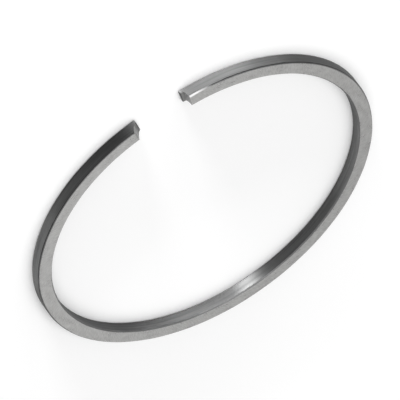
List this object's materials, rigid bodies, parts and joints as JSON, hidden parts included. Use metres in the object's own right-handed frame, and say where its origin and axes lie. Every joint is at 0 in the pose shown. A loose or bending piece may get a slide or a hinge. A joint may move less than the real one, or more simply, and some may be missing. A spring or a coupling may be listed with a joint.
{
  "type": "piston ring",
  "caption": "Split piston ring for a small two-stroke engine, rectangular section, sprung open, with a rounded locating-pin notch at each end.",
  "frame": {"origin": "centre of the back half, at the lower side face", "axes": "+Z along the ring's axis, out of the notched side face; the gap faces -Y"},
  "size_m": [0.0424, 0.0406, 0.0015],
  "materials": {
    "cast_iron": "ground and lapped"
  },
  "bodies": {
    "root": {"piston_ring": "cast_iron"}
  },
  "joints": []
}
